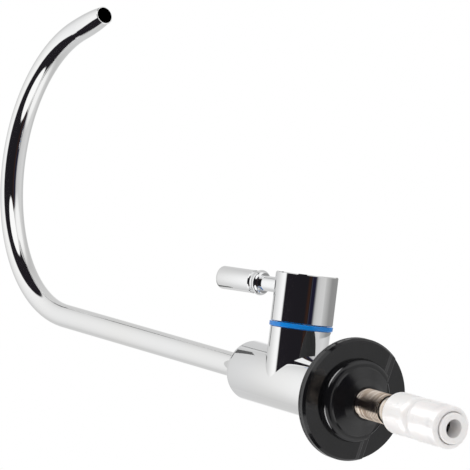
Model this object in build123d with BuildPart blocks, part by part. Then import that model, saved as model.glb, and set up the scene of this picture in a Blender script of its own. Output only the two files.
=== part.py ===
"""Reverse osmosis faucet: swan-neck spout, side branch with a quarter-turn handle, a round
base with its centring boss, and a threaded shank with a quick-connect fitting.

Millimetres, +Z up along the body and the shank. The origin is on that axis, in the plane of
the countertop: the underside of the base. The handle's branch points along -Y.
"""

import os
from math import cos, radians, sin

from build123d import *

# Base: a moulded plate on the countertop, with a rubber gasket between it and the body. Its hub
# centres in a 1 1/4 inch hole.
BASE_R = 22.6
BASE_T = 2.4
BASE_HOLE_R = 5.7
BASE_CHAMFER_R = 21.8
BASE_CHAMFER_Z = 1.1
HUB_R = 15.5
HUB_WALL_Z = -1.3
HUB_SHOULDER_MIDDLE = (14.75, -2.75)
HUB_FACE_R = 13.4
HUB_FACE_Z = -3.5
HUB_CREASE = ((12.9, -3.6), (12.5, -4.1))
HUB_BREAK = (8.8, -5.9)
HUB_TIP_R = 6.4
HUB_TIP_Z = -7.5
STEP_TURN = 11.9
STEP_FACETS = ((8.2, 0), (9.7, 0.55), (11.7, 0.9))
STEP_RIM_R = 22.3
RIDGE_R = 15.3
RIDGE_W = 0.6
RIDGE_H = 0.2
GASKET_T = 1.6
GASKET_HOLE_R = 5.85
GASKET_EDGE_R = 0.4

# Threaded shank, 7/16 inch with 24 threads per inch
THREAD_R = 5.55
THREAD_PITCH = 25.4 / 24
THREAD_CREST = 0.57
THREAD_ROOT_R = 5.1
THREAD_TOP = -7.7
THREAD_NECK_R = 5.3
RELIEF_TOP = -27.4
RELIEF_LENGTH = 0.8
SHANK_END_CHAMFER = 0.57
SHANK_BORE_R = 3.0
SHANK_END = -37.5
SHANK_SPIGOT_R = 5.0
SHANK_SPIGOT_LENGTH = 12.0
SHANK_GROOVE = 6.0
SHANK_GROOVE_R = 4.2
SHANK_GROOVE_H = 1.8
RUNNING = 0.07
FIT = 0.03
SHAFT_GAP = 0.05
SEAL_GAP = 0.02

# Body and side branch
BODY_R = 11.45
BODY_BOTTOM = BASE_T + GASKET_T
BODY_TOP = BODY_BOTTOM + 68.0
BODY_EDGE_R = 3.6
BODY_FOOT_CHAMFER = 0.3
BRANCH_CHAMFER = 0.25
BRANCH_R = 11.4
BRANCH_Z = BODY_BOTTOM + 36.9
BRANCH_FACE = 20.2
BRANCH_LEAN = 3.0
CARTRIDGE_FLOOR = 5.0
CARTRIDGE_R = 8.0
CARTRIDGE_THREAD_R = 8.6
CARTRIDGE_THREAD_START = 14.0
INLET_R = 2.5
INLET_CROSS_R = 2.2
OUTLET_R = 1.75
OUTLET_START = 8.5
OUTLET_RISE = 5.0
OUTLET_LENGTH = 11.5
OUTLET_SLOPE = (0, 3, 4)

# Ceramic discs and the bar on the spindle that turns the moving one
FIXED_DISC_START = 6.6
FIXED_DISC_T = 2.5
MOVING_DISC_START = FIXED_DISC_START + FIXED_DISC_T
MOVING_DISC_T = 2.3
PORT_INNER_R = 1.6
PORT_OUTER_R = 4.6
PORT_HALF_ANGLE = 40
DRIVE_START = MOVING_DISC_START + MOVING_DISC_T
DRIVE_DEPTH = 0.8
DRIVE_X = 5.9
DRIVE_W = 3.4
DRIVE_SLOT = 2.2
DRIVE_T = 2.2
FIXED_DISC_R = 7.0
MOVING_DISC_R = 6.8
DRIVE_BAR_R = 6.7

# Cartridge housing, its seals and the spindle, by distance along the branch
HOUSING_START = 6.8
HOUSING_NOSE_R = 7.5
HOUSING_NOSE_END = 12.2
HOUSING_CAVITY_R = 7.05
HOUSING_CAVITY_END = 14.0
HOUSING_GAP = 0.1
WINDOW_MIDDLE = 10.6
WINDOW_W = 5.0
WINDOW_L = 2.4
HEX_LENGTH = 4.3
HOUSING_GROOVE = 12.6
HOUSING_GROOVE_R = 7.35
HOUSING_GROOVE_W = 1.0
SEAT_SEAL_INNER_R = 2.9
SEAT_SEAL_R = 6.9
SPINDLE_GROOVE = 17.5
SPINDLE_GROOVE_R = 2.7
SPINDLE_GROOVE_W = 1.8
CLIP_GROOVE = 24.6
CLIP_GROOVE_R = 2.8
CLIP_GROOVE_W = 0.7
CLIP_R = 5.2
CLIP_T = 0.6
CLIP_MOUTH = 4.2
SPLINE_START = 26.0
SPLINE_COUNT = 16
SPLINE_NOTCH_R = 0.35

# Spout
TUBE_R = 4.75
TUBE_BORE_R = 3.75
TUBE_END = BODY_BOTTOM + 60.0
ARC_START = BODY_BOTTOM + 203.3
ARC_R = 59.2
ARC_TURN = 155.7
TIP_LENGTH = 15.0
TIP_STRAIGHT = 18.4 - TIP_LENGTH
TIP_R = 3.7
TIP_BORE_R = 3.3
TIP_MIDDLE = 0.55 * TIP_LENGTH
TIP_EDGE = 0.15
SPOUT_TURN = 0.85
SPOUT_BORE_R = 4.85
SPOUT_FLOOR = BODY_BOTTOM + 50.0
BUSH_R = 5.75
BUSH_LENGTH = 4.5
TAIL_GROOVE_R = 3.9
TAIL_GROOVE_H = 1.8
TAIL_BORE_R = 2.7
TAIL_RING_Z = (SPOUT_FLOOR + 2.5, SPOUT_FLOOR + 5.5)
RETAINING_Z = SPOUT_FLOOR + 8.5
SPOUT_SCREW_R = 1.5
SPOUT_SCREW_TIP_R = 0.75
TAIL_GAP = 0.4
TAIL_PLUG = 6.0

# Blue ring, handle cap and lever
RING_T = 1.7
RING_R = 11.85
RING_HOLE_R = 8.95
RING_EDGE_R = 0.25
CAP_START = 22.1
CAP_END = 40.45
CAP_R = 11.65
CAP_CAVITY_R = 9.5
CAP_CAVITY_END = 27.0
CAP_FACE_CHAMFER = 0.35
CAP_BACK_CHAMFER = 0.2
SPINDLE_R = 3.5
SPINDLE_SPLINE_R = 3.4
SPINDLE_END = 37.5
HANDLE_SCREW_R = 2.0
HANDLE_SCREW_END = 10.6
SCREW_SOCKET_DEPTH = 1.6
SCREW_CHAMFER = 0.2
LEVER_FROM_AXIS = 34.8
LEVER_TURN = 16.7
BAR_R = 2.9
BAR_START = 6.5
BAR_END = 28.0
BAR_CHAMFER = 0.3
KNOB_START = 19.9
KNOB_END = 40.7
KNOB_R = 4.4
BEAD_R = 4.8
BEAD_LENGTH = 3.4
KNOB_GROOVE = 1.1
KNOB_EDGE_R = 1.3

# Quick-connect fitting for quarter-inch tube
FITTING_TOP = -27.6
FITTING_R = 7.7
FITTING_SHOULDER = -38.0
FITTING_NECK_R = 6.8
FITTING_NECK = -42.0
FITTING_EDGE_R = 1.1
FITTING_LOWER_START = FITTING_NECK - 4.0
FITTING_LOWER_R = 7.8
FITTING_CAP_EDGE_R = 1.5
FITTING_BODY_END = -56.4
FITTING_CAP_END = -60.9
COLLET_FACE = -62.1
COLLET_R = 5.7
COLLET_NECK_R = 4.4
COLLET_HOLE_R = 3.35
COLLET_EDGE_R = 0.5
TUBE_SOCKET_R = 3.3
TUBE_SOCKET_TOP = -45.5
TUBE_SOCKET_END = -50.5
TUBE_RING_R = 4.6
GRAB_R = 5.0
GRAB_END = -52.5
GRAB_T = 0.5
GRAB_TEETH = 10
CAVITY_R = 5.6
CAVITY_END = -53.2
WATERWAY_R = 2.4
FITTING_SEAL_T = 1.5
COLLET_HEAD_T = 1.5
COLLET_RECESS = 2.4
COLLET_TOP = -54.9
COLLET_BARB_T = 1.3


def branch_plane(distance):
    """Plane square to the branch, which leans up a little, at a distance from the body's axis."""
    lean = radians(BRANCH_LEAN)
    origin = (0, -distance * cos(lean), BRANCH_Z + distance * sin(lean))
    return Plane(origin=origin, x_dir=(1, 0, 0), z_dir=(0, -cos(lean), sin(lean)))


def rims(part, least_radius):
    """Circular edges of a piece that are wider than a radius, lowest first."""
    circles = part.edges().filter_by(GeomType.CIRCLE)
    return circles.filter_by(lambda edge: edge.radius > least_radius).sort_by(Axis.Z)


def save(part, name):
    """Labels a finished piece and writes its file."""
    part.label = name
    export_step(part, f"parts/{name}.step")


def thread_run(bottom, top):
    """Half section of ring grooves with flat crests between two heights, a crest at each end."""
    points = []
    groove = THREAD_PITCH - THREAD_CREST
    z = bottom
    for _ in range(int((top - bottom - THREAD_CREST) / THREAD_PITCH)):
        points += [(THREAD_R, z), (THREAD_R, z + THREAD_CREST)]
        points += [(THREAD_ROOT_R, z + THREAD_CREST + groove / 2)]
        z += THREAD_PITCH
    return points + [(THREAD_R, z), (THREAD_R, top)]


os.makedirs("parts", exist_ok=True)

# Body: upright barrel with a rounded top, and the branch that holds the cartridge
with BuildPart() as body:
    with BuildSketch(Plane.XY.offset(BODY_BOTTOM)):
        Circle(BODY_R)
    extrude(amount=BODY_TOP - BODY_BOTTOM)
    fillet(body.edges().sort_by(Axis.Z)[-1], BODY_EDGE_R)
    chamfer(body.edges().sort_by(Axis.Z)[0], BODY_FOOT_CHAMFER)
    with BuildSketch(branch_plane(0)):
        Circle(BRANCH_R)
    extrude(amount=BRANCH_FACE)
    chamfer(body.faces().sort_by(Axis.Y)[0].edges(), BRANCH_CHAMFER)
    # Shank socket and inlet bore
    with BuildSketch(Plane.XY.offset(BODY_BOTTOM)):
        Circle(SHANK_SPIGOT_R + FIT)
    extrude(amount=SHANK_SPIGOT_LENGTH + FIT, mode=Mode.SUBTRACT)
    with BuildSketch(Plane.XY.offset(BODY_BOTTOM)):
        Circle(INLET_R)
    extrude(amount=BRANCH_Z + INLET_R - BODY_BOTTOM, mode=Mode.SUBTRACT)
    with BuildSketch(branch_plane(0)):
        Circle(INLET_CROSS_R)
    extrude(amount=CARTRIDGE_FLOOR + 1, mode=Mode.SUBTRACT)
    # Cartridge bore and its thread
    with BuildSketch(branch_plane(CARTRIDGE_FLOOR)):
        Circle(CARTRIDGE_R)
    extrude(amount=BRANCH_FACE, mode=Mode.SUBTRACT)
    with BuildSketch(branch_plane(CARTRIDGE_THREAD_START)):
        Circle(CARTRIDGE_THREAD_R)
    extrude(amount=BRANCH_FACE, mode=Mode.SUBTRACT)
    # Slanting way from the cartridge up to the spout bore
    with BuildSketch(Plane(origin=(0, -OUTLET_START, BRANCH_Z + OUTLET_RISE), z_dir=OUTLET_SLOPE)):
        Circle(OUTLET_R)
    extrude(amount=OUTLET_LENGTH, mode=Mode.SUBTRACT)
    # Spout bore and the bush's seat
    with BuildSketch(Plane.XY.offset(SPOUT_FLOOR)):
        Circle(SPOUT_BORE_R)
    extrude(amount=BODY_TOP, mode=Mode.SUBTRACT)
    with BuildSketch(Plane.XY.offset(BODY_TOP - BUSH_LENGTH)):
        Circle(BUSH_R)
    extrude(amount=BUSH_LENGTH, mode=Mode.SUBTRACT)
    # Retaining screw's hole, at the back
    with BuildSketch(Plane(origin=(0, 0, RETAINING_Z), z_dir=(0, 1, 0))):
        Circle(SPOUT_SCREW_R + FIT)
    extrude(amount=BODY_R + 1, mode=Mode.SUBTRACT)
save(body.part, "body")

# Shank: spigot into the body, plain neck inside the base, thread below it, and a bore right through
with BuildPart() as shank:
    with BuildSketch(Plane.XZ):
        with BuildLine():
            Polyline(
                (SHANK_BORE_R, BODY_BOTTOM), (SHANK_BORE_R, SHANK_END),
                (THREAD_R - SHANK_END_CHAMFER, SHANK_END),
                *thread_run(SHANK_END + SHANK_END_CHAMFER, RELIEF_TOP - RELIEF_LENGTH),
                (THREAD_ROOT_R, RELIEF_TOP - RELIEF_LENGTH), (THREAD_ROOT_R, RELIEF_TOP),
                *thread_run(RELIEF_TOP, THREAD_TOP),
                (THREAD_NECK_R, THREAD_TOP), (THREAD_NECK_R, BODY_BOTTOM),
                close=True,
            )
        make_face()
    revolve(axis=Axis.Z)
    with BuildSketch(Plane.XY.offset(BODY_BOTTOM)):
        Circle(SHANK_SPIGOT_R)
        Circle(SHANK_BORE_R, mode=Mode.SUBTRACT)
    extrude(amount=SHANK_SPIGOT_LENGTH)
    with BuildSketch(Plane.XY.offset(BODY_BOTTOM + SHANK_GROOVE)):
        Circle(SHANK_SPIGOT_R + 1)
        Circle(SHANK_GROOVE_R, mode=Mode.SUBTRACT)
    extrude(amount=SHANK_GROOVE_H, mode=Mode.SUBTRACT)
save(shank.part, "shank")


def seal_ring(inner, outer, low, high, plane):
    """A squeezed o-ring: a ring of rounded section between two radii."""
    with BuildPart() as ring:
        with BuildSketch(plane.offset(low)):
            Circle(outer)
            Circle(inner, mode=Mode.SUBTRACT)
        extrude(amount=high - low)
        rounding = 0.4 * min(outer - inner, high - low)
        fillet(ring.edges(), rounding)
    return ring.part


shank_groove_z = BODY_BOTTOM + SHANK_GROOVE
save(
    seal_ring(
        SHANK_GROOVE_R + SEAL_GAP, SHANK_SPIGOT_R + FIT - SEAL_GAP,
        shank_groove_z + SHAFT_GAP, shank_groove_z + SHANK_GROOVE_H - SHAFT_GAP, Plane.XY,
    ),
    "shank_o_ring",
)

# Rubber gasket between the base and the body
with BuildPart() as base_gasket:
    with BuildSketch(Plane.XY.offset(BASE_T)):
        Circle(BASE_R)
        Circle(GASKET_HOLE_R, mode=Mode.SUBTRACT)
    extrude(amount=GASKET_T)
    fillet(rims(base_gasket, BODY_R)[-1], GASKET_EDGE_R)
save(base_gasket.part, "base_gasket")

# Base: flat outer ring and a conical hub with a rounded shoulder
with BuildPart() as base_plate:
    with BuildSketch(Plane.XZ):
        with BuildLine():
            Polyline(
                (BASE_HOLE_R, HUB_TIP_Z),
                (BASE_HOLE_R, BASE_T),
                (BASE_R, BASE_T),
                (BASE_R, BASE_CHAMFER_Z),
                (BASE_CHAMFER_R, 0),
                (HUB_R, 0),
                (HUB_R - 0.2, HUB_WALL_Z),
            )
            ThreePointArc((HUB_R - 0.2, HUB_WALL_Z), HUB_SHOULDER_MIDDLE, (HUB_FACE_R, HUB_FACE_Z))
            Polyline(
                (HUB_FACE_R, HUB_FACE_Z),
                *HUB_CREASE,
                HUB_BREAK,
                (HUB_TIP_R, HUB_TIP_Z),
                (BASE_HOLE_R, HUB_TIP_Z),
            )
        make_face()
    revolve(axis=Axis.Z)
    # Beyond a chord the hub is cut away, and two facets lead down to a lower face
    step_side = (cos(radians(STEP_TURN)), sin(radians(STEP_TURN)), 0)
    chord = (-step_side[1], step_side[0], 0)
    with BuildSketch(Plane(origin=(0, 0, 0), x_dir=step_side, z_dir=chord)):
        with BuildLine():
            facet_points = [(distance, -height) for distance, height in STEP_FACETS]
            Polyline(
                (STEP_FACETS[0][0], BASE_R), *facet_points, (BASE_R + 1, facet_points[-1][1]),
                (BASE_R + 1, BASE_R), close=True,
            )
        make_face()
    extrude(amount=BASE_R, both=True, mode=Mode.SUBTRACT)
    with BuildSketch(Plane(origin=(0, 0, BASE_T), x_dir=step_side, z_dir=(0, 0, -1))):
        with Locations((STEP_FACETS[-1][0], 0)):
            Rectangle(BASE_R, 2 * BASE_R, align=(Align.MIN, Align.CENTER))
        Circle(STEP_RIM_R, mode=Mode.SUBTRACT)
    extrude(amount=BASE_T, mode=Mode.SUBTRACT)
    # Low ridge round the lower face
    lower_z = STEP_FACETS[-1][1]
    with BuildSketch(Plane.XZ):
        with BuildLine():
            ThreePointArc(
                (RIDGE_R - RIDGE_W / 2, lower_z + RIDGE_H), (RIDGE_R, lower_z - RIDGE_H),
                (RIDGE_R + RIDGE_W / 2, lower_z + RIDGE_H),
            )
            Line((RIDGE_R + RIDGE_W / 2, lower_z + RIDGE_H), (RIDGE_R - RIDGE_W / 2, lower_z + RIDGE_H))
        make_face()
    revolve(axis=Axis.Z)
save(base_plate.part, "base_plate")

# Ceramic cartridge, from its seat outwards along the branch
save(
    seal_ring(SEAT_SEAL_INNER_R, SEAT_SEAL_R, CARTRIDGE_FLOOR, FIXED_DISC_START, branch_plane(0)),
    "seat_seal",
)


def ceramic_disc(radius, start, thickness, port_turn):
    """A ceramic disc with two kidney-shaped ports on opposite sides."""
    with BuildPart() as disc:
        with BuildSketch(branch_plane(start)):
            Circle(radius)
            for middle in (port_turn, port_turn + 180):
                with BuildLine():
                    inner = CenterArc((0, 0), PORT_INNER_R, middle - PORT_HALF_ANGLE, 2 * PORT_HALF_ANGLE)
                    outer = CenterArc((0, 0), PORT_OUTER_R, middle - PORT_HALF_ANGLE, 2 * PORT_HALF_ANGLE)
                    Line(inner @ 0, outer @ 0)
                    Line(inner @ 1, outer @ 1)
                make_face(mode=Mode.SUBTRACT)
        extrude(amount=thickness)
    return disc.part


save(ceramic_disc(FIXED_DISC_R, FIXED_DISC_START, FIXED_DISC_T, 0), "fixed_disc")

# The moving disc is shut at rest: its ports stand a quarter turn from the fixed ones
with BuildPart() as moving_disc:
    add(ceramic_disc(MOVING_DISC_R, MOVING_DISC_START, MOVING_DISC_T, 90))
    with BuildSketch(branch_plane(DRIVE_START - DRIVE_DEPTH - 0.1)):
        with Locations((-DRIVE_X, 0), (DRIVE_X, 0)):
            Rectangle(DRIVE_SLOT, DRIVE_W + 0.1)
    extrude(amount=DRIVE_DEPTH + 1, mode=Mode.SUBTRACT)
save(moving_disc.part, "moving_disc")

# Housing: slim nose round the discs, threaded shoulder, and a hexagon to tighten it by
with BuildPart() as cartridge_housing:
    with BuildSketch(branch_plane(HOUSING_START)):
        Circle(HOUSING_NOSE_R)
    extrude(amount=HOUSING_NOSE_END - HOUSING_START)
    with BuildSketch(branch_plane(HOUSING_NOSE_END)):
        Circle(CARTRIDGE_R - HOUSING_GAP)
    extrude(amount=BRANCH_FACE - HOUSING_NOSE_END)
    with BuildSketch(branch_plane(CARTRIDGE_THREAD_START)):
        Circle(CARTRIDGE_THREAD_R - HOUSING_GAP)
    extrude(amount=BRANCH_FACE - CARTRIDGE_THREAD_START)
    with BuildSketch(branch_plane(BRANCH_FACE)):
        RegularPolygon(CARTRIDGE_THREAD_R, 6)
    extrude(amount=HEX_LENGTH)
    with BuildSketch(branch_plane(HOUSING_START)):
        Circle(HOUSING_CAVITY_R)
    extrude(amount=HOUSING_CAVITY_END - HOUSING_START, mode=Mode.SUBTRACT)
    with BuildSketch(branch_plane(HOUSING_CAVITY_END)):
        Circle(SPINDLE_R + SHAFT_GAP)
    extrude(amount=BRANCH_FACE + HEX_LENGTH - HOUSING_CAVITY_END, mode=Mode.SUBTRACT)
    # Windows that let the water out to the side
    branch_root = branch_plane(0)
    with BuildSketch(Plane(origin=branch_root.origin, x_dir=(1, 0, 0), z_dir=branch_root.y_dir)):
        with Locations((0, -WINDOW_MIDDLE)):
            Rectangle(WINDOW_W, WINDOW_L)
    extrude(amount=CARTRIDGE_R + 1, both=True, mode=Mode.SUBTRACT)
    # Groove for the housing's seal
    with BuildSketch(branch_plane(HOUSING_GROOVE)):
        Circle(CARTRIDGE_R)
        Circle(HOUSING_GROOVE_R, mode=Mode.SUBTRACT)
    extrude(amount=HOUSING_GROOVE_W, mode=Mode.SUBTRACT)
save(cartridge_housing.part, "cartridge_housing")
save(
    seal_ring(
        HOUSING_GROOVE_R + SEAL_GAP, CARTRIDGE_R - SEAL_GAP,
        HOUSING_GROOVE + SHAFT_GAP, HOUSING_GROOVE + HOUSING_GROOVE_W - SHAFT_GAP, branch_plane(0),
    ),
    "cartridge_o_ring",
)

# Spindle: bar with two lugs in the moving disc, round shaft, and a splined end for the handle
with BuildPart() as spindle:
    with BuildSketch(branch_plane(DRIVE_START)):
        Rectangle(2 * HOUSING_NOSE_R, DRIVE_W)
        Circle(DRIVE_BAR_R, mode=Mode.INTERSECT)
    extrude(amount=DRIVE_T)
    with BuildSketch(branch_plane(DRIVE_START - DRIVE_DEPTH)):
        with Locations((-DRIVE_X, 0), (DRIVE_X, 0)):
            Rectangle(DRIVE_SLOT - 0.6, DRIVE_W)
        Circle(DRIVE_BAR_R, mode=Mode.INTERSECT)
    extrude(amount=DRIVE_DEPTH)
    with BuildSketch(branch_plane(DRIVE_START)):
        Circle(SPINDLE_R)
    extrude(amount=SPLINE_START - DRIVE_START)
    with BuildSketch(branch_plane(SPLINE_START)):
        Circle(SPINDLE_SPLINE_R)
        with PolarLocations(SPINDLE_SPLINE_R, SPLINE_COUNT):
            Circle(SPLINE_NOTCH_R, mode=Mode.SUBTRACT)
    extrude(amount=SPINDLE_END - SPLINE_START)
    for start, width, radius in (
        (SPINDLE_GROOVE, SPINDLE_GROOVE_W, SPINDLE_GROOVE_R),
        (CLIP_GROOVE, CLIP_GROOVE_W, CLIP_GROOVE_R),
    ):
        with BuildSketch(branch_plane(start)):
            Circle(SPINDLE_R + 1)
            Circle(radius, mode=Mode.SUBTRACT)
        extrude(amount=width, mode=Mode.SUBTRACT)
save(spindle.part, "spindle")
save(
    seal_ring(
        SPINDLE_GROOVE_R + SEAL_GAP, SPINDLE_R + SHAFT_GAP - SEAL_GAP,
        SPINDLE_GROOVE + SHAFT_GAP, SPINDLE_GROOVE + SPINDLE_GROOVE_W - SHAFT_GAP, branch_plane(0),
    ),
    "spindle_o_ring",
)

# Clip that keeps the spindle in its housing: a flat ring with an open mouth
with BuildPart() as spindle_clip:
    with BuildSketch(branch_plane(CLIP_GROOVE + SHAFT_GAP)):
        Circle(CLIP_R)
        Circle(CLIP_GROOVE_R + SHAFT_GAP, mode=Mode.SUBTRACT)
        with Locations((0, -CLIP_R)):
            Rectangle(CLIP_MOUTH, CLIP_R + 2, mode=Mode.SUBTRACT)
    extrude(amount=CLIP_T)
save(spindle_clip.part, "spindle_clip")

# Blue indicator ring between the branch and the handle
with BuildPart() as blue_ring:
    with BuildSketch(branch_plane(BRANCH_FACE)):
        Circle(RING_R)
        Circle(RING_HOLE_R, mode=Mode.SUBTRACT)
    extrude(amount=RING_T)
    fillet(rims(blue_ring, BODY_R), RING_EDGE_R)
save(blue_ring.part, "blue_ring")

# The lever's own plane: its axis crosses the branch axis squarely, turned aside from upright
lever_seat = branch_plane(LEVER_FROM_AXIS)
lever_direction = (
    lever_seat.y_dir * cos(radians(LEVER_TURN)) - lever_seat.x_dir * sin(radians(LEVER_TURN))
)
lever_plane = Plane(origin=lever_seat.origin, z_dir=lever_direction)
handle_screw_plane = Plane(origin=lever_seat.origin, z_dir=(1, 0, 0))

# Cap: round, hollow at the back, with holes for the spindle, the lever bar and its screw
with BuildPart() as handle_cap:
    with BuildSketch(branch_plane(CAP_START)):
        Circle(CAP_R)
    extrude(amount=CAP_END - CAP_START)
    chamfer(handle_cap.faces().sort_by(Axis.Y)[0].edges(), CAP_FACE_CHAMFER)
    chamfer(handle_cap.faces().sort_by(Axis.Y)[-1].edges(), CAP_BACK_CHAMFER)
    with BuildSketch(branch_plane(CAP_START)):
        Circle(CAP_CAVITY_R)
    extrude(amount=CAP_CAVITY_END - CAP_START, mode=Mode.SUBTRACT)
    with BuildSketch(branch_plane(CAP_CAVITY_END)):
        Circle(SPINDLE_SPLINE_R + SHAFT_GAP)
    extrude(amount=SPINDLE_END + 0.3 - CAP_CAVITY_END, mode=Mode.SUBTRACT)
    with BuildSketch(lever_plane.offset(BAR_START)):
        Circle(BAR_R + FIT)
    extrude(amount=CAP_R, mode=Mode.SUBTRACT)
    with BuildSketch(handle_screw_plane):
        Circle(HANDLE_SCREW_R + FIT)
    extrude(amount=CAP_R + 1, mode=Mode.SUBTRACT)
save(handle_cap.part, "handle_cap")


def grub_screw(plane, radius, start, end, tip_r=None, tip_start=None):
    """A headless screw along a plane's axis: hex socket at the far end, and a thinner tip if asked."""
    with BuildPart() as screw:
        with BuildSketch(plane.offset(start)):
            Circle(radius)
        extrude(amount=end - start)
        chamfer(screw.faces().filter_by(GeomType.PLANE).edges(), SCREW_CHAMFER)
        if tip_r:
            with BuildSketch(plane.offset(tip_start)):
                Circle(tip_r)
            extrude(amount=start - tip_start)
        with BuildSketch(plane.offset(end - SCREW_SOCKET_DEPTH)):
            RegularPolygon(0.58 * radius, 6)
        extrude(amount=SCREW_SOCKET_DEPTH, mode=Mode.SUBTRACT)
    return screw.part


save(
    grub_screw(handle_screw_plane, HANDLE_SCREW_R, SPINDLE_SPLINE_R + SHAFT_GAP, HANDLE_SCREW_END),
    "handle_screw",
)
spout_screw_plane = Plane(origin=(0, 0, RETAINING_Z), z_dir=(0, 1, 0))
save(
    grub_screw(
        spout_screw_plane, SPOUT_SCREW_R, SPOUT_BORE_R + 0.1, BODY_R - 0.5,
        tip_r=SPOUT_SCREW_TIP_R, tip_start=TAIL_GROOVE_R + 0.15,
    ),
    "spout_screw",
)

# Lever bar, from inside the cap into the knob
with BuildPart() as lever_bar:
    with BuildSketch(lever_plane.offset(BAR_START)):
        Circle(BAR_R)
    extrude(amount=BAR_END - BAR_START)
    chamfer(lever_bar.faces().filter_by(GeomType.PLANE).edges(), BAR_CHAMFER)
save(lever_bar.part, "lever_bar")

# Knob: rounded bead, groove, then the grip with a rounded end, all turned about the bar
with BuildPart() as lever_knob:
    groove_start = KNOB_START + BEAD_LENGTH
    grip_start = groove_start + KNOB_GROOVE
    with BuildSketch(Plane(origin=lever_plane.origin, x_dir=lever_plane.x_dir, z_dir=-lever_plane.y_dir)):
        with BuildLine():
            Polyline((BAR_R + FIT, KNOB_START), (KNOB_R - 0.6, KNOB_START))
            ThreePointArc(
                (KNOB_R - 0.6, KNOB_START),
                (BEAD_R, KNOB_START + BEAD_LENGTH / 2),
                (KNOB_R - 0.6, groove_start),
            )
            Polyline(
                (KNOB_R - 0.6, groove_start),
                (KNOB_R - 0.6, grip_start),
                (KNOB_R - 0.2, grip_start),
                (KNOB_R, grip_start + 0.3),
                (KNOB_R, KNOB_END - KNOB_EDGE_R),
            )
            ThreePointArc(
                (KNOB_R, KNOB_END - KNOB_EDGE_R),
                (KNOB_R - 0.3 * KNOB_EDGE_R, KNOB_END - 0.3 * KNOB_EDGE_R),
                (KNOB_R - KNOB_EDGE_R, KNOB_END),
            )
            Polyline(
                (KNOB_R - KNOB_EDGE_R, KNOB_END),
                (0, KNOB_END + 0.3),
                (0, BAR_END + FIT),
                (BAR_R + FIT, BAR_END + FIT),
                (BAR_R + FIT, KNOB_START),
            )
        make_face()
    revolve(axis=Axis(lever_plane.origin, lever_plane.z_dir))
save(lever_knob.part, "lever_knob")

# Spout tube: riser, swan-neck arc and straight end in one upright plane, turned on its swivel
spout_side = (sin(radians(SPOUT_TURN)), -cos(radians(SPOUT_TURN)), 0)
spout_plane = Plane(origin=(0, 0, 0), x_dir=spout_side, z_dir=(spout_side[1], -spout_side[0], 0))
turn = radians(ARC_TURN)
arc_end = (ARC_R * (1 - cos(turn)), ARC_START + ARC_R * sin(turn))
end_direction = (sin(turn), cos(turn))
straight_end = (arc_end[0] + TIP_STRAIGHT * end_direction[0], arc_end[1] + TIP_STRAIGHT * end_direction[1])
arc_middle = (ARC_R * (1 - cos(turn / 2)), ARC_START + ARC_R * sin(turn / 2))

with BuildPart() as spout_tube:
    with BuildLine(spout_plane) as spout_path:
        Line((0, TUBE_END), (0, ARC_START))
        ThreePointArc((0, ARC_START), arc_middle, arc_end)
        Line(arc_end, straight_end)
    with BuildSketch(Plane.XY.offset(TUBE_END)):
        Circle(TUBE_R)
        Circle(TUBE_BORE_R, mode=Mode.SUBTRACT)
    sweep(path=spout_path.wires()[0])
    # The end tapers gently to the outlet
    tip_origin = spout_plane.from_local_coords((straight_end[0], straight_end[1], 0))
    tip_axis = spout_plane.from_local_coords((end_direction[0], end_direction[1], 0))
    tip_plane = Plane(origin=tip_origin, x_dir=spout_plane.z_dir, z_dir=tip_axis)
    with BuildSketch(Plane(origin=tip_origin, x_dir=tip_plane.x_dir, z_dir=-tip_plane.y_dir)):
        with BuildLine():
            Line((TUBE_BORE_R, 0), (TUBE_R, 0))
            Bezier((TUBE_R, 0), (TUBE_R, TIP_MIDDLE), (TIP_R, TIP_LENGTH - TIP_EDGE))
            Line((TIP_R, TIP_LENGTH - TIP_EDGE), (TIP_R - TIP_EDGE, TIP_LENGTH))
            Line((TIP_R - TIP_EDGE, TIP_LENGTH), (TIP_BORE_R, TIP_LENGTH))
            Bezier((TIP_BORE_R, TIP_LENGTH), (TUBE_BORE_R, TIP_MIDDLE), (TUBE_BORE_R, 0))
        make_face()
    revolve(axis=Axis(tip_origin, tip_axis))
save(spout_tube.part, "spout_tube")

# Tail: plug in the tube's end, with grooves for the two seals and the retaining screw
with BuildPart() as spout_tail:
    with BuildSketch(Plane.XY.offset(SPOUT_FLOOR + TAIL_GAP)):
        Circle(TUBE_R)
    extrude(amount=TUBE_END - SPOUT_FLOOR - TAIL_GAP)
    with BuildSketch(Plane.XY.offset(TUBE_END)):
        Circle(TUBE_BORE_R - FIT)
    extrude(amount=TAIL_PLUG)
    for z in (*TAIL_RING_Z, RETAINING_Z):
        with BuildSketch(Plane.XY.offset(z - TAIL_GROOVE_H / 2)):
            Circle(TUBE_R + 1)
            Circle(TAIL_GROOVE_R, mode=Mode.SUBTRACT)
        extrude(amount=TAIL_GROOVE_H, mode=Mode.SUBTRACT)
    with BuildSketch(Plane.XY.offset(SPOUT_FLOOR)):
        Circle(TAIL_BORE_R)
    extrude(amount=TUBE_END + TAIL_PLUG - SPOUT_FLOOR, mode=Mode.SUBTRACT)
save(spout_tail.part, "spout_tail")

ring_half_height = TAIL_GROOVE_H / 2 - SHAFT_GAP
tail_rings = [
    seal_ring(
        TAIL_GROOVE_R + SEAL_GAP, SPOUT_BORE_R - SEAL_GAP,
        z - ring_half_height, z + ring_half_height, Plane.XY,
    )
    for z in TAIL_RING_Z
]
save(Compound(children=tail_rings), "spout_o_rings")

# Plain bearing for the tube, flush in the top of the body
with BuildPart() as spout_bush:
    with BuildSketch(Plane.XY.offset(BODY_TOP - BUSH_LENGTH)):
        Circle(BUSH_R - FIT)
        Circle(TUBE_R + SHAFT_GAP, mode=Mode.SUBTRACT)
    extrude(amount=BUSH_LENGTH - 0.1)
save(spout_bush.part, "spout_bush")

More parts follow.
